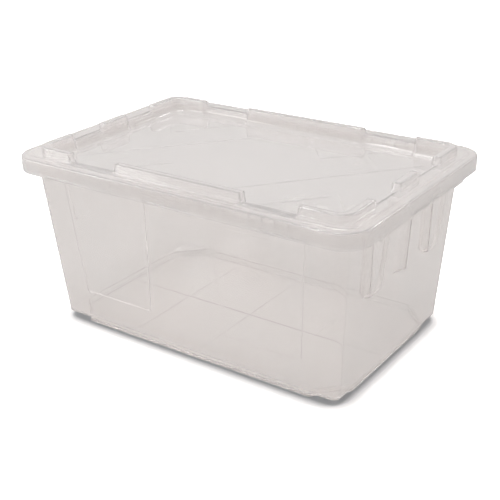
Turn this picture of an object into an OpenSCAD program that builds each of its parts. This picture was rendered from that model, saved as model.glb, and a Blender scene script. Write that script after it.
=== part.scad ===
// Stackable storage bin: a drafted tub with a rolled rim, and a lift-off
// lid whose raised rails locate the foot of the next bin.
// +X runs along the length, +Z up, origin under the centre of the tub.

/* [Tub] */
// Length of the tub wall's lower edge
base_l = 507; // [450:1:520]
// Width of the tub wall's lower edge
base_w = 313; // [270:1:325]
// Height of the tub to the top of its rim
tub_h = 275; // [240:1:300]
// Corner radius at the wall's lower edge
base_r = 12; // [8:1:24]
// Outward lean of every wall, in mm per mm of height
draft = 0.075; // [0.05:0.005:0.08]
// Thickness of the tub's sheet
wall = 2.2; // [1.8:0.1:2.6]
// Height of the foot below the walls
foot_h = 10; // [8:1:14]
// How far the foot stands in from the walls
foot_inset = 3; // [2:0.5:5]
// Size of the cut across each corner of the foot
foot_cut = 45; // [25:1:60]

/* [Rim] */
// Length over the rim
rim_l = 592; // [588:1:593]
// Width over the rim
rim_w = 386; // [382:1:387]
// Depth of the rim's turned-down edge
rim_drop = 17; // [12:1:20]
// Depth of the deeper edge that makes each end handle
handle_drop = 28; // [24:1:34]
// Width of each end handle
handle_w = 260; // [220:2:280]
// Distance between the webs that stiffen the rim
web_pitch = 20; // [16:1:40]

/* [Wall features] */
// Depth that the side panels are set into the long walls
panel_depth = 1.5; // [1:0.1:1.8]
// Height of the side panels' lower edge
panel_z = 58; // [45:1:80]
// Distance that the end pilasters stand out from the wall
pilaster_depth = 8; // [5:0.5:9]
// Height of the end pilasters' lower edge
pilaster_z = 149; // [130:1:170]
// Distance from the centre line to a pilaster's middle
pilaster_y = 88; // [80:0.5:92]

/* [Lid] */
// Length of the lid
lid_l = 600; // [598:1:604]
// Width of the lid
lid_w = 394; // [392:1:398]
// Corner radius of the lid
lid_r = 41; // [36:1:46]
// Thickness of the lid's sheet
lid_t = 2.4; // [2:0.1:2.6]
// Height of the lid's skirt
skirt_h = 23.7; // [20:0.1:26]
// Height of the stacking rails above the ledge
rail_h = 12; // [8:0.5:14]
// Depth of the tray below the ledge
tray_depth = 12.3; // [9:0.1:14]

/* [Hidden] */
$fn = 72;
eps = 0.5;                     // overlap that joins neighbouring solids

// rim
rim_r = lid_r - 4;
rim_edge = 2.2;
web_t = 1.6;
web_h = 11;
web_reach = 200;               // webs span this far each side of centre

// side panels, as half-widths at the lower edge and their flare upwards
panel_in = 68.5;
panel_out = 199.5;
panel_flare = 0.075;

// end pilasters
pilaster_half = 20;
pilaster_flare = 0.08;
pilaster_r = 14;

// floor creases
crease_x = [-123, 0, 123];
crease_w = 3;
crease_h = 1;
floor_l = base_l - 2 * (foot_inset + wall);
floor_w = base_w - 2 * (foot_inset + wall);

// lid levels
seat_gap = 0.3;                // running gap between rim and lid
ledge_under = tub_h + seat_gap;
ledge_z = ledge_under + lid_t;
step_h = 1.2;
step_inset = 13;
rail_z = ledge_z + rail_h;
tray_z = ledge_z - tray_depth;
skirt_z = ledge_z - skirt_h;
edge_r = 3.5;

// lid plan, as half-sizes
tray_x = 259;
tray_y = 158;
tray_r = 13;
rail_x = 273;
rail_y = 170;
rail_r = 24;
side_gap = [113, 198];         // gaps in the long rails, from centre
end_gap = [30, 95];            // gaps in the end rails, from centre
gap_x = 266;                   // the tray reaches this far into the gaps,
gap_y = 167.5;                 // which keeps it clear of the tub's walls

// shallow lattice that stiffens the tray
lattice_angle = 50;
lattice_main = 107;            // distance of the long lines from centre
lattice_near = 27;             // distances of the short lines, which
lattice_far = 181;             // fill the fields between the long ones
lattice_w = 8;
lattice_h = 0.6;

// snap beads inside the skirt
bead_d = 1.3;
bead_h = 2.2;
bead_l = 70;
bead_x = [-190, 0, 190];

plastic = [0.86, 0.85, 0.84, 0.45];

// ---------- plan outlines ----------

module round_rect(l, w, r) {
    square([l, w - 2 * r], center = true);
    square([l - 2 * r, w], center = true);
    for (x = [-1, 1], y = [-1, 1])
        translate([x * (l / 2 - r), y * (w / 2 - r)]) circle(r);
}

module cut_rect(l, w, c) {
    polygon([[-l / 2 + c, -w / 2], [l / 2 - c, -w / 2],
             [l / 2, -w / 2 + c], [l / 2, w / 2 - c],
             [l / 2 - c, w / 2], [-l / 2 + c, w / 2],
             [-l / 2, w / 2 - c], [-l / 2, -w / 2 + c]]);
}

// A slab of a plan outline between two heights
module slab(z0, z1) {
    translate([0, 0, z0]) linear_extrude(z1 - z0) children();
}

// ---------- tub ----------

// Drafted box of the tub's walls, set in by inset, from z0 to z1
module drafted_box(inset, z0, z1) {
    s0 = draft * (z0 - foot_h) - inset;
    s1 = draft * (z1 - foot_h) - inset;
    core_l = base_l - 2 * base_r;
    core_w = base_w - 2 * base_r;
    rotate([90, 0, 0]) linear_extrude(core_w, center = true)
        polygon([[-base_l / 2 - s0, z0], [base_l / 2 + s0, z0],
                 [base_l / 2 + s1, z1], [-base_l / 2 - s1, z1]]);
    rotate([90, 0, 90]) linear_extrude(core_l, center = true)
        polygon([[-base_w / 2 - s0, z0], [base_w / 2 + s0, z0],
                 [base_w / 2 + s1, z1], [-base_w / 2 - s1, z1]]);
    for (x = [-1, 1], y = [-1, 1])
        translate([x * core_l / 2, y * core_w / 2, z0])
            cylinder(h = z1 - z0, r1 = base_r + s0, r2 = base_r + s1);
}

// Frame of a drafted wall that stands at -Y: x along it, y up it, z outwards
module on_wall(half_depth) {
    translate([0, -half_depth, foot_h]) rotate([90 + atan(draft), 0, 0]) children();
}

module on_side_walls() {
    for (a = [0, 180]) rotate(a) on_wall(base_w / 2) children();
}

module on_end_walls() {
    for (m = [0, 1]) mirror([m, 0, 0]) rotate(90) on_wall(base_l / 2) children();
}

// Outlines of the two side panels, grown by grow
module panel_outlines(grow) {
    v0 = panel_z - foot_h - grow;
    v1 = tub_h;
    rise = v1 - (panel_z - foot_h);
    for (m = [0, 1]) mirror([m, 0])
        polygon([[panel_in - grow, v0], [panel_out + grow, v0],
                 [panel_out + grow + panel_flare * rise, v1],
                 [panel_in - grow - panel_flare * rise, v1]]);
}

// Outline of one pilaster, grown by grow: square at one lower corner,
// rounded at the other
module pilaster_outline(grow) {
    half = pilaster_half + grow;
    r = pilaster_r + grow;
    v0 = pilaster_z - foot_h - grow;
    v1 = tub_h - foot_h;
    flare = pilaster_flare * (v1 - v0);
    intersection() {
        polygon([[-half, v0], [half, v0], [half + flare, v1], [-half - flare, v1]]);
        union() {
            translate([-2 * half, v0 + r]) square([4 * half, v1]);
            translate([-2 * half, v0]) square([3 * half - r, r + eps]);
            translate([half - r, v0 + r]) circle(r);
        }
    }
}

module pilasters(grow, n0, n1) {
    on_end_walls()
        for (u = [-1, 1]) translate([u * pilaster_y, 0, n0])
            linear_extrude(n1 - n0) pilaster_outline(grow);
}

module foot_plan(inset) {
    cut_rect(base_l - 2 * (foot_inset + inset), base_w - 2 * (foot_inset + inset),
             foot_cut);
}

module rim_plan(inset) {
    round_rect(rim_l - 2 * inset, rim_w - 2 * inset, rim_r - inset);
}

module rim() {
    slab(tub_h - rim_edge, tub_h) rim_plan(0);
    slab(tub_h - rim_drop, tub_h) difference() {
        rim_plan(0);
        rim_plan(rim_edge);
    }
    slab(tub_h - handle_drop, tub_h) intersection() {
        difference() {
            rim_plan(0);
            rim_plan(rim_edge);
        }
        for (m = [0, 1]) mirror([m, 0])
            translate([base_l / 2, -handle_w / 2]) square([rim_l, handle_w]);
    }
    web_w = (rim_w - base_w) / 2 - rim_edge / 2;
    for (a = [0, 180]) rotate(a)
        for (x = [-web_reach : web_pitch : web_reach])
            translate([x - web_t / 2, base_w / 2, tub_h - rim_edge - web_h])
                cube([web_t, web_w, web_h + eps]);
}

module tub_outside() {
    slab(0, foot_h + eps) foot_plan(0);
    difference() {
        drafted_box(0, foot_h, tub_h);
        on_side_walls() translate([0, 0, -panel_depth])
            linear_extrude(2 * panel_depth) panel_outlines(0);
    }
    pilasters(0, -eps, pilaster_depth);
    rim();
}

module tub_inside() {
    slab(wall + 0.2, foot_h + wall + eps) foot_plan(wall);
    difference() {
        drafted_box(wall, foot_h + wall, tub_h + 1);
        on_side_walls() translate([0, 0, -wall - panel_depth])
            linear_extrude(wall + panel_depth) panel_outlines(wall);
    }
    pilasters(-wall, -wall - eps, pilaster_depth - wall);
}

module floor_creases() {
    for (x = crease_x)
        translate([x - crease_w / 2, -floor_w / 2, wall])
            cube([crease_w, floor_w, crease_h + 0.2]);
    translate([-floor_l / 2, -crease_w / 2, wall])
        cube([floor_l, crease_w, crease_h + 0.2]);
}

module tub() {
    color(plastic) {
        difference() {
            tub_outside();
            tub_inside();
        }
        floor_creases();
    }
}

// ---------- lid ----------

module tray_plan(grow) {
    round_rect(2 * (tray_x + grow), 2 * (tray_y + grow), tray_r + grow);
}

// The eight breaks between the rails, out to reach_x and reach_y
module gap_plan(grow, reach_x, reach_y) {
    side = side_gap[1] - side_gap[0] + 2 * grow;
    end = end_gap[1] - end_gap[0] + 2 * grow;
    for (mx = [0, 1], my = [0, 1]) mirror([mx, 0]) mirror([0, my]) {
        translate([side_gap[0] - grow, 0]) square([side, reach_y + grow]);
        translate([0, end_gap[0] - grow]) square([reach_x + grow, end]);
    }
}

// The tray with its bays, where it reaches into the breaks
module bayed_tray_plan(grow) {
    tray_plan(grow);
    gap_plan(grow, gap_x, gap_y);
}

module rail_plan(inset) {
    difference() {
        round_rect(2 * (rail_x - inset), 2 * (rail_y - inset), rail_r - inset);
        tray_plan(inset);
        gap_plan(inset, lid_l, lid_w);
    }
}

module lid_plan(inset) {
    round_rect(lid_l - 2 * inset, lid_w - 2 * inset, lid_r - inset);
}

// Skirt and ledge with a rounded upper edge
module lid_block() {
    slab(skirt_z, ledge_z - edge_r) lid_plan(0);
    slab(skirt_z, ledge_z) lid_plan(edge_r);
    at_edge = ledge_z - edge_r;
    for (s = [-1, 1]) {
        translate([0, s * (lid_w / 2 - edge_r), at_edge]) rotate([0, 90, 0])
            cylinder(h = lid_l - 2 * lid_r, r = edge_r, center = true);
        translate([s * (lid_l / 2 - edge_r), 0, at_edge]) rotate([90, 0, 0])
            cylinder(h = lid_w - 2 * lid_r, r = edge_r, center = true);
    }
    for (x = [-1, 1], y = [-1, 1])
        translate([x * (lid_l / 2 - lid_r), y * (lid_w / 2 - lid_r), at_edge])
            rotate_extrude() translate([lid_r - edge_r, 0]) circle(edge_r);
    slab(ledge_z - eps, ledge_z + step_h) lid_plan(step_inset);
}

// Space under the ledge: everything inside the skirt but the tray
module under_ledge_plan(inset) {
    difference() {
        lid_plan(inset);
        bayed_tray_plan(lid_t);
    }
}

// One lattice line that passes the centre at distance d
module lattice_line(angle, d) {
    rotate(angle) translate([-2 * tray_x, d - lattice_w / 2])
        square([4 * tray_x, lattice_w]);
}

// The short lines of the field at -X -Y, which end on the long lines
module lattice_field() {
    intersection() {
        rotate(-lattice_angle) translate([-2 * tray_x, -lattice_main - tray_x])
            square([4 * tray_x, tray_x]);
        rotate(lattice_angle) translate([-2 * tray_x, lattice_main - 2 * tray_x])
            square([4 * tray_x, 2 * tray_x]);
        union() {
            lattice_line(lattice_angle, lattice_near);
            lattice_line(-lattice_angle, -lattice_far);
        }
    }
}

module lattice() {
    slab(tray_z - eps, tray_z + lattice_h) intersection() {
        tray_plan(-3);
        union() {
            for (a = [-1, 1], d = [-1, 1])
                lattice_line(a * lattice_angle, d * lattice_main);
            for (mx = [0, 1], my = [0, 1])
                mirror([mx, 0]) mirror([0, my]) lattice_field();
        }
    }
}

module snap_beads() {
    z = skirt_z + 1;
    for (a = [0, 180]) rotate(a)
        for (x = bead_x)
            translate([x - bead_l / 2, lid_w / 2 - lid_t - bead_d, z])
                cube([bead_l, bead_d + eps, bead_h]);
    for (a = [0, 180]) rotate(a)
        translate([lid_l / 2 - lid_t - bead_d, -bead_l / 2, z])
            cube([bead_d + eps, bead_l, bead_h]);
}

module lid() {
    color(plastic) {
        difference() {
            union() {
                lid_block();
                slab(ledge_z, rail_z) rail_plan(0);
            }
            slab(tray_z, rail_z + 1) bayed_tray_plan(0);
            slab(skirt_z - 1, tray_z - lid_t) lid_plan(lid_t);
            slab(tray_z - lid_t - eps, ledge_under) under_ledge_plan(lid_t);
            slab(ledge_under - eps, ledge_under + step_h)
                under_ledge_plan(step_inset + lid_t);
            slab(ledge_under, rail_z - lid_t) rail_plan(lid_t);
        }
        lattice();
        snap_beads();
    }
}

tub();
lid();
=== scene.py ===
"""Looks of the stackable storage bin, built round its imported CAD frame."""

import math

import bpy
import numpy as np
from mathutils import Matrix, Vector
from mathutils.geometry import delaunay_2d_cdt


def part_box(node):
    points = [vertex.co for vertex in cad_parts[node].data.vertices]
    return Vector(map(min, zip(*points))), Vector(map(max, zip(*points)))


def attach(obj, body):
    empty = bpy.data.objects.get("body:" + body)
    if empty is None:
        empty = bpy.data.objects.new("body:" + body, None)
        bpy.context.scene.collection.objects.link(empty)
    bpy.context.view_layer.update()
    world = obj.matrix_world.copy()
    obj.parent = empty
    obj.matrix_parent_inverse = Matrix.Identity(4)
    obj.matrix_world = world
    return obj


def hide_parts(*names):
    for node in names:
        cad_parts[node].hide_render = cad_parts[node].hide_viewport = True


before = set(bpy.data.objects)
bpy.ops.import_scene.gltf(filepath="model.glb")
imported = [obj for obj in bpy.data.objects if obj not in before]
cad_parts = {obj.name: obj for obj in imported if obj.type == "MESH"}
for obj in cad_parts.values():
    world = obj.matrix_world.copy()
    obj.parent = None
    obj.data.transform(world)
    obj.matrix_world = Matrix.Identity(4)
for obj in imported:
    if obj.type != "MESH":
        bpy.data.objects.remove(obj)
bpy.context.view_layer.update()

MM = 0.001                      # the shells are worked out in millimetres
LEAST_STEP = 0.35               # between neighbouring stations or levels


def box_mm(node):
    """Lowest and highest corner of a CAD node in millimetres."""
    return [[round(c / MM, 3) for c in corner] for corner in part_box(node)]


# ---------- plan outlines and shells ----------

def smooth(t):
    """Smooth step from 0 to 1."""
    t = np.clip(t, 0.0, 1.0)
    return t * t * (3.0 - 2.0 * t)


def sweep(start, stop, count):
    """Cosines and sines of evenly spaced angles, in degrees."""
    angles = np.radians(np.linspace(start, stop, count))
    return list(zip(np.cos(angles), np.sin(angles)))


def inset(outline, d, keep=0.0):
    """An outline set in by d; keep is the share of d that its radius doesn't lose."""
    hx, hy, r = outline
    return hx - d, hy - d, max(r - d * (1 - keep), 1.0)


class Plan:
    """Columns that stand round a rounded rectangle, anticlockwise from -X -Y.

    Stations run along each side and arcs join them. Stations within `free` of
    a side's middle keep their place, the rest spread out to the corner.
    """

    def __init__(self, stations, free, arc_steps):
        side, run, turn = [], [], []
        for k in range(4):
            half = np.array(sorted(stations[k % 2]))
            both = np.concatenate([-half[::-1], half[half > 0]])
            arc = np.arange(1, arc_steps) / arc_steps
            side += [k] * (len(both) + len(arc))
            run += list(both) + [half[-1]] * len(arc)
            turn += [0.0] * len(both) + list(arc)
        self.side, self.run = np.array(side), np.array(run)
        self.turn = np.radians(90) * np.array(turn)
        self.short = self.side % 2
        self.core = np.array([max(stations[0]), max(stations[1])])[self.short]
        self.free = np.array(free)[self.short]
        quarter = np.radians(90) * self.side
        self.along = np.stack([np.cos(quarter), np.sin(quarter)], -1)
        self.out = np.stack([np.sin(quarter), -np.cos(quarter)], -1)
        self.normal = (np.sin(self.turn)[:, None] * self.along
                       + np.cos(self.turn)[:, None] * self.out)

    def ring(self, hx, hy, r, shift=0.0):
        """Plan points of an outline with half-sizes hx, hy and corner radius r."""
        straight = np.where(self.short, hy - r, hx - r)
        reach = np.where(self.short, hx, hy) - r
        run = self.run + shift
        size = np.abs(run)
        spread = (straight - self.free) / (self.core - self.free)
        size = np.where(size > self.free, self.free + (size - self.free) * spread, size)
        t = np.sign(run) * size + r * np.sin(self.turn)
        n = reach + r * np.cos(self.turn)
        return t[:, None] * self.along + n[:, None] * self.out


class Shell:
    """A closed mesh made of rings that follow one another, and two flat fields."""

    def __init__(self):
        self.points, self.faces = [], []

    def add(self, xy, z):
        """Adds points at height z and returns the first one's index."""
        first = len(self.points)
        z = np.broadcast_to(z, (len(xy),))
        self.points += [(x, y, h) for (x, y), h in zip(xy, z)]
        return first

    def skin(self, rings):
        """Joins rings, each an (xy, z) pair, and returns the first and last one's start."""
        starts = [self.add(xy, z) for xy, z in rings]
        count = len(rings[0][0])
        for low, high in zip(starts, starts[1:]):
            for i in range(count):
                j = (i + 1) % count
                self.faces.append((low + i, low + j, high + j, high + i))
        return starts[0], starts[-1]

    def field(self, first, count, loops, lines, height, up):
        """Fills a ring with a field that has ridges along lines and inside loops."""
        flat = [Vector(p[:2]) for p in self.points[first:first + count]]
        edges = [(i, (i + 1) % count) for i in range(count)]
        for loop in loops:
            base = len(flat)
            flat += [Vector(p) for p in loop]
            edges += [(base + i, base + (i + 1) % len(loop)) for i in range(len(loop))]
        for a, b in lines:
            edges.append((len(flat), len(flat) + 1))
            flat += [Vector(a), Vector(b)]
        places, _, triangles, source, _, _ = delaunay_2d_cdt(flat, edges, [], 1, 1e-4)
        index = []
        for place, origin in zip(places, source):
            on_ring = [i for i in origin if i < count]
            if on_ring:
                index.append(first + on_ring[0])
            else:
                index.append(self.add([place], height(place.x, place.y)))
        for triangle in triangles:
            face = tuple(index[i] for i in triangle)
            self.faces.append(face if up else face[::-1])

    def block(self, lo, hi, edge):
        """An upright web with its lower edges chamfered by edge."""
        (x0, y0, z0), (x1, y1, z1) = lo, hi
        levels = [(z0, edge), (z0 + edge, 0), (z1, 0)]
        rings = [(np.array([(x0 + e, y0), (x1 - e, y0), (x1 - e, y1), (x0 + e, y1)]), z)
                 for z, e in levels]
        low, high = self.skin(rings)
        self.faces.append(tuple(low + i for i in (3, 2, 1, 0)))
        self.faces.append(tuple(high + i for i in (0, 1, 2, 3)))

    def build(self, name):
        """The shell as a Blender object in metres, evenly shaded."""
        mesh = bpy.data.meshes.new(name)
        mesh.from_pydata([tuple(MM * float(c) for c in p) for p in self.points], [], self.faces)
        mesh.validate()
        mesh.shade_smooth()
        piece = bpy.data.objects.new(name, mesh)
        bpy.context.scene.collection.objects.link(piece)
        even = piece.modifiers.new("even_normals", "WEIGHTED_NORMAL")
        even.mode = "FACE_AREA"
        even.keep_sharp = False
        return piece


def spaced(start, stop, step):
    """Even stations from start to stop, about step apart."""
    return list(np.linspace(start, stop, max(2, int(round(abs(stop - start) / step)) + 1)))


def merged(*groups):
    """Sorted stations of all groups, without near doubles."""
    values = sorted(v for group in groups for v in group)
    kept = [values[0]]
    for v in values[1:]:
        if v - kept[-1] > LEAST_STEP:
            kept.append(v)
    return kept


def shifted(origin, steps, sign=1):
    """Stations or levels at steps from an origin, counted up or down."""
    return [origin + sign * step for step in steps]


def between(ring, other, *parts):
    """Rings part of the way from one ring to another."""
    return [ring + (other - ring) * part for part in parts]


def box_loop(half_x, half_y):
    """Corners of a rectangle round the origin."""
    return [(-half_x, -half_y), (half_x, -half_y), (half_x, half_y), (-half_x, half_y)]


# ---------- tub ----------

_, (RIM_X, RIM_Y, TUB_H) = box_mm("tub")
BASE = (253.5, 156.5)           # half-sizes of the wall at the top of the foot
DRAFT = 0.075                   # outward lean of the walls
WALL = 2.2
CORNER_R, CORNER_GROWTH = 11.5, 0.017
FOOT_H, FOOT_INSET, FOOT_CUT = 10.0, 3.0, 45.0
FOOT_EDGE_R, FLOOR_BEND = 2.0, 5.0
FLOOR_Z = WALL + 0.2
RIM = (RIM_X, RIM_Y, 37.0)      # half-sizes and corner radius of the rim
RIM_T, RIM_EDGE_R, NECK_R, MOUTH_R = 2.2, 2.0, 3.0, 1.5
RIM_DROP, HANDLE_DROP, HANDLE_HALF = 17.0, 28.0, 130.0
RIM_TOP = TUB_H - RIM_T         # underside of the rim's flange
WEB_T, WEB_H, WEB_PITCH, WEB_REACH = 1.6, 11.0, 20, 200
WEB_ROOT, WEB_BITE = 252.0, 1.8    # where webs meet the wall above the foot, and how deep
WEB_SINK, WEB_CHAMFER = 0.6, 0.4    # how far webs go into the rim, and their lower edges

# recessed panels on the long walls and pilasters on the end walls, as
# middle, half-width, foot, flare on each edge, depth, edge slope
PANEL = dict(middle=134.0, half=65.5, foot=58.0, flare=0.075, depth=-1.5, slope=3.2)
PILASTER = dict(middle=88.0, half=20.0, foot=149.0, flare=0.08, depth=8.0, slope=3.5)
PANEL_R = (5.0, 5.0)            # radii of the lower corners
PILASTER_R = (3.0, 14.0)

CREASE_X = (-123.0, 0.0, 123.0)
CREASE = ((2.4, 0.0), (1.2, 0.75), (0.0, 1.0))    # half-width and height
CREASE_BOX = (235.0, 137.0)     # half-sizes of the field that the creases span
FADE = 3.0                      # ridges sink away this close to their field's edge


def raised(s, z, shape, radii, tighten):
    """Depth of a panel or pilaster at s along the wall and height z."""
    rise = z - shape["foot"] - tighten
    half = shape["half"] + shape["flare"] * np.maximum(rise, 0) - tighten
    across = s - np.sign(s) * shape["middle"]
    r = np.where(across < 0, radii[0], radii[1])
    qx, qz = np.abs(across) - (half - r), r - rise
    outside = (np.hypot(np.maximum(qx, 0), np.maximum(qz, 0))
               + np.minimum(np.maximum(qx, qz), 0) - r)
    return shape["depth"] * smooth(-outside / shape["slope"])


def follow(plan, z):
    """How far the stations move with the flaring edges of panels and pilasters.

    The keys are stations at the side's middle, round the feature's inner edge,
    round its outer edge, and at the corner, where nothing moves.
    """
    shift = np.zeros(len(plan.run))
    for short, shape, keys in ((0, PANEL, (0, 58, 76, 190, 208, 237)),
                               (1, PILASTER, (0, 58, 78, 98, 117, 140))):
        weight = np.interp(np.abs(plan.run), keys, (0, -1, -1, 1, 1, 0))
        move = shape["flare"] * max(z - shape["foot"], 0) * weight
        shift = np.where(plan.short == short, np.sign(plan.run) * move, shift)
    return np.where(plan.turn > 0, 0, shift)


def wall_ring(plan, z, inner, off=0.0):
    """The wall's outline at height z, with its panels and pilasters."""
    sheet = WALL if inner else 0.0
    lean = DRAFT * (z - FOOT_H) - sheet
    r = CORNER_R + CORNER_GROWTH * (z - FOOT_H) - sheet
    xy = plan.ring(BASE[0] + lean, BASE[1] + lean, r, follow(plan, z))
    s = np.sum(xy * plan.along, -1)
    up = np.where(plan.side == 3, -1.0, 1.0)      # both ends round the +Y corner
    panel = raised(s, z, PANEL, PANEL_R, 0.0)
    pilaster = raised(s * up, z, PILASTER, PILASTER_R, 1.5 if inner else 0.0)
    depth = np.where(plan.turn > 0, 0.0, np.where(plan.short, pilaster, panel))
    return xy + (depth + off)[:, None] * plan.normal


def foot_ring(plan, d):
    """The foot's outline set in by d, with its corners cut off."""
    half = [b - FOOT_INSET - d for b in BASE]
    xy = plan.ring(half[0], half[1], CORNER_R - 2)
    cut = sum(BASE) - 2 * FOOT_INSET - FOOT_CUT - 1.2 * d
    over = np.maximum(np.abs(xy).sum(-1) - cut, 0) / 2
    return xy - over[:, None] * np.sign(xy)


def lip_bottom(plan, xy):
    """Height of the rim's lower edge, deeper at the end handles."""
    y = np.abs(xy[:, 1])
    deep = np.where(np.abs(xy[:, 0]) > BASE[0], smooth((HANDLE_HALF + 3 - y) / 7), 0)
    return TUB_H - RIM_DROP - (HANDLE_DROP - RIM_DROP) * deep


def wall_levels():
    """Heights of the wall's rings, close together where a feature starts."""
    panel = shifted(PANEL["foot"], (-2, -0.5, 0.3, 0.9, 1.5, 2.1, 2.7, 4, 6))
    foot = PILASTER["foot"]
    pilaster = shifted(foot, (-3, -1.2, -0.3, 0.3, 0.9, 1.6, 2.3, 3, 3.8, 4.6, 5.4))
    pilaster += spaced(foot + 6.5, foot + 18, 1.2)
    return merged(panel, pilaster, spaced(14, 50, 12), spaced(70, 142, 12),
                  spaced(foot + 26, TUB_H - 8, 12))


def creases(half_x, half_y):
    """Ridge lines of the floor's creases and the height that they stand."""
    lines = []
    for w, _ in CREASE:
        for o in {w, -w}:       # a single line where w is 0
            lines += [((x + o, -half_y), (x + o, half_y)) for x in CREASE_X]
            lines.append(((-half_x, o), (half_x, o)))
    width, rise = zip(*CREASE[::-1])

    def height(x, y):
        near = min([abs(y)] + [abs(x - c) for c in CREASE_X])
        edge = min(half_x - abs(x), half_y - abs(y))
        return float(np.interp(near, width, rise) * np.clip(edge / FADE, 0, 1))

    return lines, height


def tub_plan():
    """Columns round the tub, close together at the edges of its features."""
    edge = (-2.5, -1, -0.3, 0.4, 1.1, 1.8, 2.5, 3.4, 4.6)
    inner, outer = (PANEL["middle"] + k * PANEL["half"] for k in (-1, 1))
    long_side = merged(spaced(0, 60, 12), shifted(inner, edge), spaced(80, 190, 12),
                       shifted(outer, edge, -1), [205.5, 212, 222, 227, 232, 237])
    edge = (-2.5, -1, -0.3, 0.4, 1.1, 1.8, 2.5, 3.2, 4, 5, 6.2)
    inner, outer = (PILASTER["middle"] + k * PILASTER["half"] for k in (-1, 1))
    short_side = merged(spaced(0, 60, 12), shifted(inner, edge),
                        spaced(inner + 8, inner + 17, 1.3), spaced(86, 90, 4),
                        spaced(outer - 17, outer - 7, 1.3), shifted(outer, edge, -1),
                        [114, 118, 122, 124, 125, 126, 127],
                        [128.5, 130, 133, 136, 140])
    return Plan((long_side, short_side), (222, 122), 12)


def foot_rows(plan):
    """The foot's outside, up to the lower edge of the walls."""
    rows = [(foot_ring(plan, FOOT_EDGE_R * (1 - s)), FOOT_EDGE_R * (1 - c))
            for c, s in sweep(0, 90, 5)]
    for d, drop in ((0, 1.2), (-0.3, 0.4), (-0.9, 0.1)):
        rows.append((foot_ring(plan, d), FOOT_H - drop))
    for off, rise in ((-1.0, 0), (-0.3, 0.3), (0.0, 1.2)):
        rows.append((wall_ring(plan, FOOT_H + rise, False, off), FOOT_H + rise))
    return rows


def rim_rows(plan):
    """From the neck under the rim's flange, round its turned-down edge to its top."""
    rows = []
    for c, s in sweep(0, 90, 5):
        z = RIM_TOP - NECK_R * (1 - s)
        rows.append((wall_ring(plan, z, False, NECK_R * (1 - c)), z))
    outside, inside = plan.ring(*RIM), plan.ring(*inset(RIM, RIM_T))
    rows += [(xy, RIM_TOP) for xy in between(rows[-1][0], inside, 0.5, 0.85)]
    rows += [(plan.ring(*inset(RIM, RIM_T + MOUTH_R * (1 - s))), RIM_TOP - MOUTH_R * (1 - c))
             for c, s in sweep(15, 90, 4)]
    low, level = lip_bottom(plan, outside), TUB_H - RIM_DROP
    rows += [(inside, low + 0.7 * (level - low) + 3), (inside, low + 1)]
    rows += [(plan.ring(*inset(RIM, RIM_T / 2 * (1 + c))), low + 0.9 * (1 - s))
             for c, s in sweep(30, 150, 5)]
    rows += [(outside, low + 1), (outside, level + 3)]
    rows += [(plan.ring(*inset(RIM, RIM_EDGE_R * (1 - c))), TUB_H - RIM_EDGE_R * (1 - s))
             for c, s in sweep(0, 90, 5)]
    return rows


def mouth_rows(plan, rim_edge):
    """From the rim's outer edge across its top and into the mouth."""
    mouth = wall_ring(plan, TUB_H, True, MOUTH_R)
    rows = [(xy, TUB_H) for xy in between(rim_edge, mouth, 0.35, 0.7)]
    for c, s in sweep(0, 90, 4):
        z = TUB_H - MOUTH_R * (1 - c)
        rows.append((wall_ring(plan, z, True, MOUTH_R * (1 - s)), z))
    return rows


def inner_foot_rows(plan):
    """The inside from the lower edge of the walls to the floor."""
    shelf = FOOT_H + WALL
    rows = [(wall_ring(plan, shelf + 0.6, True, -0.3), shelf + 0.6)]
    rows += [(foot_ring(plan, WALL - 1.0), shelf), (foot_ring(plan, WALL + 0.1), shelf - 0.6)]
    rows += [(foot_ring(plan, WALL + FLOOR_BEND * (1 - c)), FLOOR_Z + FLOOR_BEND * (1 - s))
             for c, s in sweep(0, 90, 8)]
    return rows


def rim_webs(shell):
    """Webs under the rim along both long walls."""
    near, far = BASE[1] + DRAFT * WEB_ROOT - WEB_BITE, RIM_Y - RIM_T + WEB_SINK
    for side in (-1, 1):
        y0, y1 = sorted((side * near, side * far))
        for x in range(-WEB_REACH, WEB_REACH + 1, WEB_PITCH):
            shell.block((x - WEB_T / 2, y0, RIM_TOP - WEB_H),
                        (x + WEB_T / 2, y1, RIM_TOP + WEB_SINK), WEB_CHAMFER)


def tub_shell():
    """The tub as one closed shell with its webs."""
    plan = tub_plan()
    levels = wall_levels()
    rows = foot_rows(plan) + [(wall_ring(plan, z, False), z) for z in levels]
    rows += rim_rows(plan)
    rows += mouth_rows(plan, rows[-1][0])
    rows += [(wall_ring(plan, z, True), z) for z in reversed(levels)]
    rows += inner_foot_rows(plan)
    shell = Shell()
    first, last = shell.skin(rows)
    count = len(plan.run)
    lines, height = creases(*CREASE_BOX)
    shell.field(last, count, [], lines, lambda x, y: FLOOR_Z + height(x, y), True)
    shell.field(first, count, [], lines, lambda x, y: 0.5 * height(x, y), False)
    rim_webs(shell)
    return shell.build("tub_shell")


# ---------- lid ----------

(_, _, SKIRT_Z), (LID_X, LID_Y, RAIL_Z) = box_mm("lid")
EDGE = (LID_X, LID_Y, 41.0)     # half-sizes and corner radius of the lid
RAIL = (273.0, 170.0, 24.0)     # outer foot of the rails
TRAY = (259.0, 158.0, 14.0)     # inner upper edge of the rails
BAY = (266.0, 167.5, 14.0)      # edge of the tray in the breaks between rails
LID_T, EDGE_R = 2.4, 3.5
LEDGE_Z = RAIL_Z - 12.0
TRAY_Z = LEDGE_Z - 12.3
STEP_H = 1.2
STEP_Z = LEDGE_Z + STEP_H
STEP = ((10.6, 0.0), (11.6, 0.08), (12.4, 0.4), (13.2, 0.85), (14.0, 1.12), (15.0, STEP_H))
RAIL_FOOT_R, RAIL_TOP_R, TRAY_BEND, RAIL_LEAN = 1.0, 3.0, 9.0, 2.0
BAY_TOP_R, BAY_LEAN = 3.5, 5.0
GAPS = ((113.0, 198.0), (30.0, 95.0))    # breaks along the long and the short sides
GAP_SLOPE = 3.0
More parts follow.
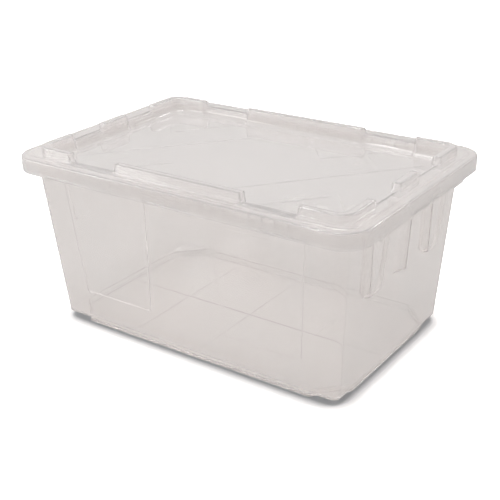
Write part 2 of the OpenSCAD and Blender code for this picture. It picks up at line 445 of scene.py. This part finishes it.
SKIRT_EDGE = 0.8                # height of the rounding at the skirt's lower edge
BEAD_X, BEAD_HALF, BEAD_D, BEAD_Z = (-190.0, 0.0, 190.0), 35.0, 1.3, SKIRT_Z + 2.1

LATTICE_ANGLE, LATTICE_MAIN, LATTICE_NEAR, LATTICE_FAR = 50.0, 107.0, 27.0, 181.0
BAND = ((5.2, 0.0), (4.5, 0.09), (3.5, 0.51), (2.8, 0.6))    # half-width and height
LATTICE_BOX = (244.0, 143.0)    # half-sizes of the field that the lattice spans


def is_rail(plan, t):
    """1 where a column stands on a rail, 0 in a break; t widens the breaks."""
    run = np.abs(plan.run)
    weight = np.ones(len(run))
    for short, (a, b) in enumerate(GAPS):
        entry = smooth((run - (a - t - GAP_SLOPE)) / GAP_SLOPE)
        gap = entry * smooth((b + t + GAP_SLOPE - run) / GAP_SLOPE)
        weight = np.where((plan.short == short) & (plan.turn == 0), 1 - gap, weight)
    return weight


def rail_section(t):
    """Outlines and heights across a rail, from its outer foot down to the tray."""
    rows = []
    for c, s in sweep(-90, 0, 4):
        rows.append((inset(RAIL, (RAIL_FOOT_R + t) * c - RAIL_FOOT_R),
                     STEP_Z + RAIL_FOOT_R + (RAIL_FOOT_R + t) * s))
    r = max(RAIL_TOP_R - t, 0.3)
    for c, s in sweep(180, 90, 5):
        rows.append((inset(RAIL, t + r + r * c), RAIL_Z - t - r + r * s))
    for c, s in sweep(90, 0, 5):
        rows.append((inset(TRAY, -t - r + r * c, 1), RAIL_Z - t - r + r * s))
    for c, s in sweep(0, 90, 8):
        rows.append((inset(TRAY, RAIL_LEAN + TRAY_BEND - (TRAY_BEND + t) * c, 0.8),
                     TRAY_Z + TRAY_BEND - (TRAY_BEND + t) * s))
    return rows


def bay_section(t):
    """Outlines and heights across a break between rails, matching rail_section."""
    rows = []
    outer = 4 + 5               # rows that rail_section has up to the rail's top
    start, stop = inset(RAIL, -RAIL_FOOT_R), inset(BAY, -2 - t)
    for i in range(outer):
        part = i / outer
        rows.append((tuple(a + (b - a) * part for a, b in zip(start, stop)), STEP_Z - t))
    r = max(BAY_TOP_R - t, 0.3)
    for c, s in sweep(90, 0, 5):
        rows.append((inset(BAY, -t - r + r * c, 1), STEP_Z - t - r + r * s))
    for c, s in sweep(0, 90, 8):
        rows.append((inset(BAY, BAY_LEAN + TRAY_BEND - (TRAY_BEND + t) * c, 0.8),
                     TRAY_Z + TRAY_BEND - (TRAY_BEND + t) * s))
    return rows


def lid_rows(plan, t):
    """Rings of one skin from the skirt's edge to the tray; t is its depth in the sheet."""
    rows = []
    for c, s in sweep(0, 90, 7):
        rows.append((plan.ring(*inset(EDGE, EDGE_R - (EDGE_R - t) * c)),
                     LEDGE_Z - EDGE_R + (EDGE_R - t) * s))
    for d, rise in STEP:
        rows.append((plan.ring(*inset(EDGE, d + 0.4 * t)), LEDGE_Z + rise - t))
    weight = is_rail(plan, t)
    for (on, z_on), (off, z_off) in zip(rail_section(t), bay_section(t)):
        xy = plan.ring(*off) * (1 - weight[:, None]) + plan.ring(*on) * weight[:, None]
        rows.append((xy, z_off * (1 - weight) + z_on * weight))
    return rows


def skirt_inside(plan):
    """The skirt's inner face from its edge up, with the snap beads."""
    rows = []
    for z in shifted(BEAD_Z, (-1.3, -1.0, -0.5, 0.0, 0.5, 1.0, 1.5, 2.3, 7.9)):
        xy = plan.ring(*inset(EDGE, LID_T))
        s = np.sum(xy * plan.along, -1)
        reach = np.zeros(len(s))
        for x in BEAD_X:
            on = smooth((BEAD_HALF - np.abs(s - x)) / 6 + 0.5)
            reach = np.maximum(reach, np.where(plan.short & (x != 0), 0, on))
        depth = BEAD_D * smooth((1.6 - abs(z - BEAD_Z)) / 1.2) * reach * (plan.turn == 0)
        rows.append((xy - depth[:, None] * plan.normal, z))
    return rows


def lattice_lines():
    """Middle lines of the tray's lattice, as start, end."""
    turn = math.radians(LATTICE_ANGLE)
    up = Vector((math.cos(turn), math.sin(turn)))
    n_up, n_down = Vector((-up.y, up.x)), Vector((up.y, up.x))
    down = Vector((up.x, -up.y))
    reach = 260.0               # long enough to leave the lattice's field
    lines = []
    for sign in (-1, 1):
        for run, normal in ((up, n_up), (down, n_down)):
            middle = normal * LATTICE_MAIN * sign
            lines.append((middle - run * reach * 2, middle + run * reach * 2))

    def meet(a, b):
        """Point at distance a along n_up and b along n_down."""
        det = n_up.x * n_down.y - n_up.y * n_down.x
        return Vector(((a * n_down.y - b * n_up.y) / det, (n_up.x * b - n_down.x * a) / det))

    near = (meet(LATTICE_NEAR, -LATTICE_MAIN), meet(LATTICE_NEAR, -LATTICE_MAIN - reach))
    far = (meet(LATTICE_MAIN, -LATTICE_FAR), meet(LATTICE_MAIN - reach, -LATTICE_FAR))
    for mx in (-1, 1):
        for my in (-1, 1):
            for a, b in (near, far):
                lines.append((Vector((mx * a.x, my * a.y)), Vector((mx * b.x, my * b.y))))
    return lines


def clipped(a, b, half_x, half_y):
    """Part of the line a-b inside a box round the origin, or None."""
    lo, hi = 0.0, 1.0
    for i, half in enumerate((half_x, half_y)):
        d = b[i] - a[i]
        if abs(d) < 1e-9:
            if abs(a[i]) > half:
                return None
            continue
        t = sorted(((-half - a[i]) / d, (half - a[i]) / d))
        lo, hi = max(lo, t[0]), min(hi, t[1])
    return (a + (b - a) * lo, a + (b - a) * hi) if hi > lo else None


def lattice(half_x, half_y):
    """Ridge lines of the lattice's bands and the height that they stand."""
    middles = lattice_lines()
    lines = []
    for a, b in middles:
        side = Vector((-(b - a).y, (b - a).x)).normalized()
        for w, _ in BAND:
            for o in (w, -w):
                piece = clipped(a + side * o, b + side * o, half_x, half_y)
                if piece:
                    lines.append(piece)
    width, rise = zip(*BAND[::-1])

    def height(x, y):
        p = Vector((x, y))
        top = 0.0
        for a, b in middles:
            d = b - a
            t = min(max((p - a).dot(d) / d.length_squared, 0), 1)
            top = max(top, float(np.interp((p - a - d * t).length, width, rise)))
        edge = min(half_x - abs(x), half_y - abs(y))
        return top * min(max(edge / FADE, 0), 1)

    return lines, height


def lid_plan():
    """Columns round the lid, close together at the ends of the rails."""
    def ends(gap):
        """Stations at both ends of a break."""
        start, stop = gap
        return spaced(start - 7.5, start + 1.5, 0.75) + spaced(stop - 1.5, stop + 7, 0.75)

    long_side = merged(spaced(0, 104, 10), ends(GAPS[0]), spaced(124, 187, 10),
                       [212, 220, 229, 237])
    short_side = merged(spaced(0, 20, 10), ends(GAPS[1]), spaced(41, 84, 10),
                        [110, 120, 128, 135])
    return Plan((long_side, short_side), (205, 102), 14)


def lid_shell():
    """The lid as one closed shell: underside, skirt and upper side."""
    plan = lid_plan()
    under = lid_rows(plan, LID_T)[::-1]
    inside = skirt_inside(plan)[::-1]
    edge = [(plan.ring(*inset(EDGE, LID_T / 2 * (1 + c))), SKIRT_Z + SKIRT_EDGE * (1 - s))
            for c, s in sweep(25, 155, 5)]
    outside = [(plan.ring(*EDGE), SKIRT_Z + d) for d in (SKIRT_EDGE, 4.0, 10.0)]
    shell = Shell()
    first, last = shell.skin(under + inside + edge + outside + lid_rows(plan, 0.0))
    count = len(plan.run)
    lines, height = lattice(*LATTICE_BOX)
    fade = box_loop(*(half - FADE for half in LATTICE_BOX))
    shell.field(last, count, [box_loop(*LATTICE_BOX), fade], lines,
                lambda x, y: TRAY_Z + height(x, y), True)
    shell.field(first, count, [], [], None, False)
    return shell.build("lid_shell")


# ---------- camera, light and floor ----------

SKY_LIT, SKY_DIM = (0.69, 0.675, 0.665), (0.45, 0.425, 0.415)
FACED_Z = 0.2                   # the lights face this height on the middle axis
FLOOR_HALF, FLOOR_DROP = 80.0, 0.0005
# the middle colour is a painted shadow that the floor shows round the bin's foot
PAPER, PAINTED_SHADOW, EXPOSED = (0.74, 0.74, 0.74, 1), (0.35, 0.36, 0.375, 1), (2.0, 2.0, 2.0, 1)
PAINTED_SHADOW_REACH = 0.028           # width of the painted shadow along the foot

AZIMUTH, ELEVATION, ROLL = 35.56, 24.22, -1.40
LENS, SENSOR = 69.72, 36.0
TARGET_Z, DISTANCE = 0.150, 1.5086
ASIDE, ABOVE = 0.00337, -0.03034    # the camera's step across its line of sight


def view_camera():
    """Camera at the photograph's angle, worked out from the lid's and foot's edges."""
    azimuth, elevation, roll = (math.radians(a) for a in (AZIMUTH, ELEVATION, ROLL))
    back = Vector((math.sin(azimuth) * math.cos(elevation),
                   -math.cos(azimuth) * math.cos(elevation),
                   math.sin(elevation)))
    level = Vector((math.cos(azimuth), math.sin(azimuth), 0))
    upright = back.cross(level)
    right = math.cos(roll) * level + math.sin(roll) * upright
    up = -math.sin(roll) * level + math.cos(roll) * upright
    data = bpy.data.cameras.new("camera")
    data.lens, data.sensor_width = LENS, SENSOR
    data.clip_start, data.clip_end = 0.05, 300
    camera = bpy.data.objects.new("camera", data)
    bpy.context.scene.collection.objects.link(camera)
    place = Vector((0, 0, TARGET_Z)) + ASIDE * right + ABOVE * up + DISTANCE * back
    camera.matrix_world = Matrix.Translation(place) @ Matrix(
        (right, up, back)).transposed().to_4x4()
    bpy.context.scene.camera = camera


def area_light(name, place, size, power):
    """A square softbox that faces the middle of the bin."""
    data = bpy.data.lights.new(name, "AREA")
    data.shape, data.size = "SQUARE", size
    data.energy = power
    lamp = bpy.data.objects.new(name, data)
    lamp.location = place
    lamp.rotation_mode = "QUATERNION"
    aim = Vector((0, 0, FACED_Z)) - Vector(place)
    lamp.rotation_quaternion = aim.to_track_quat("-Z", "Y")
    bpy.context.scene.collection.objects.link(lamp)


def add(tree, kind, **values):
    """Adds a shader node and sets its sockets by name."""
    made = tree.nodes.new(kind)
    for name, value in values.items():
        made.inputs[name.replace("_", " ")].default_value = value
    return made


def ramp(tree, source, low, high, start=0.3, stop=0.7):
    """Colours a grey pattern from low to high."""
    made = tree.nodes.new("ShaderNodeValToRGB")
    stops = made.color_ramp.elements
    stops[0].position, stops[0].color = start, (*low, 1)
    stops[1].position, stops[1].color = stop, (*high, 1)
    tree.links.new(source, made.inputs["Fac"])
    return made.outputs["Color"]


def mix(tree, share, first, second):
    """Mixes in the second shader by a share, which is a socket or a number."""
    made = tree.nodes.new("ShaderNodeMixShader")
    if isinstance(share, float):
        made.inputs[0].default_value = share
    else:
        tree.links.new(share, made.inputs[0])
    tree.links.new(first, made.inputs[1])
    tree.links.new(second, made.inputs[2])
    return made.outputs[0]


def sky():
    """Soft even surroundings, dimmer and warmer on the +X side."""
    world = bpy.data.worlds.new("world")
    world.use_nodes = True
    tree = world.node_tree
    place = tree.nodes.new("ShaderNodeTexCoord")
    axes = tree.nodes.new("ShaderNodeSeparateXYZ")
    tree.links.new(place.outputs["Generated"], axes.inputs[0])
    shade = ramp(tree, axes.outputs["X"], SKY_LIT, SKY_DIM, 0.0, 0.9)
    tree.links.new(shade, tree.nodes["Background"].inputs["Color"])
    bpy.context.scene.world = world


def studio():
    """Even surroundings, small lights for the glints and two softboxes."""
    sky()
    area_light("key", (-0.75, -0.6, 1.98), 0.14, 2.5)
    area_light("rim", (0.9, 2.2, 1.8), 0.3, 2.5)
    area_light("top", (-0.2, 0.1, 1.9), 0.9, 8.4)
    area_light("front", (-1.6, -1.4, 0.95), 0.8, 6.5)
    scene = bpy.context.scene
    scene.view_settings.view_transform = "Standard"
    cycles = scene.cycles
    cycles.max_bounces, cycles.transmission_bounces = 40, 32
    cycles.diffuse_bounces, cycles.glossy_bounces = 16, 16
    cycles.transparent_max_bounces = 48


def floor():
    """Pale paper, exposed to white where the camera sees it directly, with a painted shadow
    that darkens it round the bin's foot.
    """
    mesh = bpy.data.meshes.new("floor")
    r, z = FLOOR_HALF, -FLOOR_DROP
    mesh.from_pydata([(-r, -r, z), (r, -r, z), (r, r, z), (-r, r, z)], [], [(0, 1, 2, 3)])
    obj = bpy.data.objects.new("floor", mesh)
    bpy.context.scene.collection.objects.link(obj)
    mat = bpy.data.materials.new("floor_paper")
    mat.use_nodes = True
    tree = mat.node_tree
    tree.nodes.remove(tree.nodes["Principled BSDF"])
    # painted shadow: ambient occlusion near the bin mixes the camera's view of the floor
    # towards the dark colour
    near = add(tree, "ShaderNodeAmbientOcclusion", Distance=PAINTED_SHADOW_REACH)
    near.samples = 16
    open_sky = ramp(tree, near.outputs["AO"], (0, 0, 0), (1, 1, 1), 0.45, 1.0)
    paper, shaded, exposed = (add(tree, "ShaderNodeBsdfDiffuse", Color=color).outputs[0]
                              for color in (PAPER, PAINTED_SHADOW, EXPOSED))
    seen = tree.nodes.new("ShaderNodeLightPath").outputs["Is Camera Ray"]
    look = mix(tree, seen, paper, mix(tree, open_sky, shaded, exposed))
    tree.links.new(look, tree.nodes["Material Output"].inputs["Surface"])
    mesh.materials.append(mat)


def plastic(name, warm, cool, haze, shade, ior):
    """Clear plastic that a fine haze makes milky, moulded with slight unevenness.

    Its milky share scatters light to both sides and runs from warm to cool in
    soft clouds; shade is how much light its shadow lets through.
    """
    mat = bpy.data.materials.new(name)
    mat.use_nodes = True
    tree = mat.node_tree
    links = tree.links
    place = tree.nodes.new("ShaderNodeTexCoord").outputs["Object"]
    cloud = add(tree, "ShaderNodeTexNoise", Scale=9.0, Detail=3.0, Roughness=0.55)
    grain = add(tree, "ShaderNodeTexNoise", Scale=160.0, Detail=4.0, Roughness=0.6)
    peel = add(tree, "ShaderNodeTexNoise", Scale=420.0, Detail=2.0)
    for pattern in (cloud, grain, peel):
        links.new(place, pattern.inputs["Vector"])
    tone = ramp(tree, cloud.outputs["Fac"], warm, cool)
    veil = ramp(tree, cloud.outputs["Fac"], (haze * 0.96,) * 3, (haze * 1.04,) * 3)
    matt = ramp(tree, grain.outputs["Fac"], (0.015,) * 3, (0.04,) * 3)
    bump = add(tree, "ShaderNodeBump", Strength=0.015, Distance=0.0002)
    links.new(peel.outputs["Fac"], bump.inputs["Height"])

    clear = tree.nodes["Principled BSDF"]
    clear.inputs["Base Color"].default_value = (0.995, 0.985, 0.98, 1)
    clear.inputs["IOR"].default_value = ior
    clear.inputs["Coat Weight"].default_value = 1.0
    clear.inputs["Coat Roughness"].default_value = 0.05
    clear.inputs["Transmission Weight"].default_value = 1.0
    links.new(matt, clear.inputs["Roughness"])
    front, through = (tree.nodes.new(kind) for kind in
                      ("ShaderNodeBsdfDiffuse", "ShaderNodeBsdfTranslucent"))
    for lobe in (front, through):
        links.new(tone, lobe.inputs["Color"])
    for lobe in (clear, front, through):
        links.new(bump.outputs[0], lobe.inputs["Normal"])
    scatter = mix(tree, 0.5, front.outputs[0], through.outputs[0])
    milky = mix(tree, veil, clear.outputs[0], scatter)
    lit = add(tree, "ShaderNodeBsdfTransparent", Color=(shade, shade, shade, 1))
    shadow = tree.nodes.new("ShaderNodeLightPath").outputs["Is Shadow Ray"]
    look = mix(tree, shadow, milky, lit.outputs[0])
    links.new(look, tree.nodes["Material Output"].inputs["Surface"])
    return mat


def finish(piece, node, material):
    """Gives a shell its plastic and puts it in the place of its CAD node."""
    piece.data.materials.append(material)
    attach(piece, node)
    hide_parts(node)


view_camera()
studio()
floor()
tub_plastic = plastic("tub_plastic", warm=(0.985, 0.925, 0.9), cool=(0.955, 0.925, 0.91),
                      haze=0.17, shade=0.8, ior=1.45)
lid_plastic = plastic("lid_plastic", warm=(0.99, 0.968, 0.962), cool=(0.985, 0.97, 0.968),
                      haze=0.24, shade=0.84, ior=1.38)
finish(tub_shell(), "tub", tub_plastic)
finish(lid_shell(), "lid", lid_plastic)
